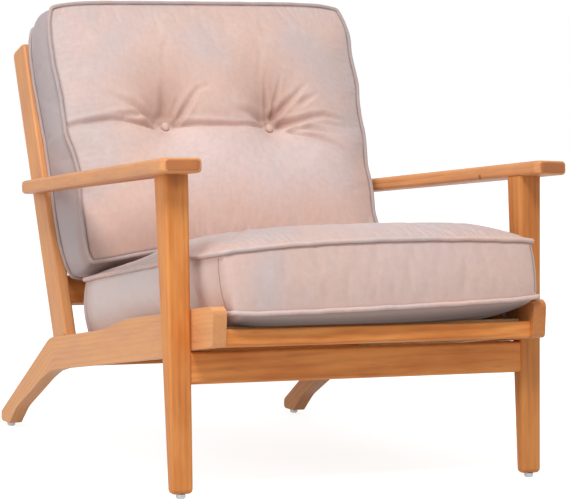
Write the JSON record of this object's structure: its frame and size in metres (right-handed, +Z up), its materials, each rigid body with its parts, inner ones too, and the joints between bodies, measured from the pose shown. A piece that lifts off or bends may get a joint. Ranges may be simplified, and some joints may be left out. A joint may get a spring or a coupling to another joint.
{
  "type": "lounge armchair",
  "caption": "Low wooden lounge armchair with bent side boards, sloping flat arms and loose piped velvet cushions.",
  "frame": {"origin": "on the floor under the middle of the chair's box, halfway between front and back", "axes": "+X to the right seen from the front, +Y towards the back, +Z up"},
  "size_m": [0.7706, 0.8909, 0.801],
  "materials": {
    "frame_wood": "oiled",
    "deck_wood": "raw",
    "steel": "satin",
    "brass": "satin",
    "velvet": "velvet",
    "foam": "matt",
    "twine": "matt"
  },
  "bodies": {
    "frame": {"front_leg_left": "frame_wood", "front_leg_right": "frame_wood", "side_member_left": "frame_wood", "side_member_right": "frame_wood", "back_post_left": "frame_wood", "back_post_right": "frame_wood", "armrest_left": "frame_wood", "armrest_right": "frame_wood", "front_stretcher": "frame_wood", "seat_front_rail": "frame_wood", "seat_rear_rail": "frame_wood", "seat_cleat_left": "deck_wood", "seat_cleat_right": "deck_wood", "seat_slat_1": "deck_wood", "seat_slat_2": "deck_wood", "seat_slat_3": "deck_wood", "seat_slat_4": "deck_wood", "seat_slat_5": "deck_wood", "seat_slat_6": "deck_wood", "seat_slat_7": "deck_wood", "back_top_rail": "frame_wood", "back_bottom_rail": "frame_wood", "back_slat_1": "frame_wood", "back_slat_2": "frame_wood", "back_slat_3": "frame_wood", "back_slat_4": "frame_wood", "back_slat_5": "frame_wood", "arm_dowels": "deck_wood", "stretcher_dowels": "deck_wood", "seat_rail_dowels": "deck_wood", "post_dowels": "deck_wood", "back_rail_dowels": "deck_wood", "leg_bolts": "steel", "leg_inserts": "brass", "arm_screws": "steel", "slat_screws": "steel", "cleat_screws": "steel", "foot_glides": "steel"},
    "seat_cushion": {"seat_cushion_cover": "velvet", "seat_foam_core": "foam", "seat_piping_top": "velvet", "seat_piping_bottom": "velvet"},
    "back_cushion": {"back_cushion_cover": "velvet", "back_foam_core": "foam", "back_piping_front": "velvet", "back_piping_rear": "velvet", "tuft_buttons_front": "velvet", "tuft_buttons_rear": "velvet", "tuft_twines": "twine"}
  },
  "joints": [
    {"name": "seat_cushion_slide", "type": "slide", "parent": "frame", "child": "seat_cushion", "axis": [0, -0.9854, 0.1702], "range_m": [0, 0.6]},
    {"name": "back_cushion_lift", "type": "slide", "parent": "frame", "child": "back_cushion", "axis": [0, 0.3987, 0.9171], "range_m": [0, 0.5]}
  ]
}
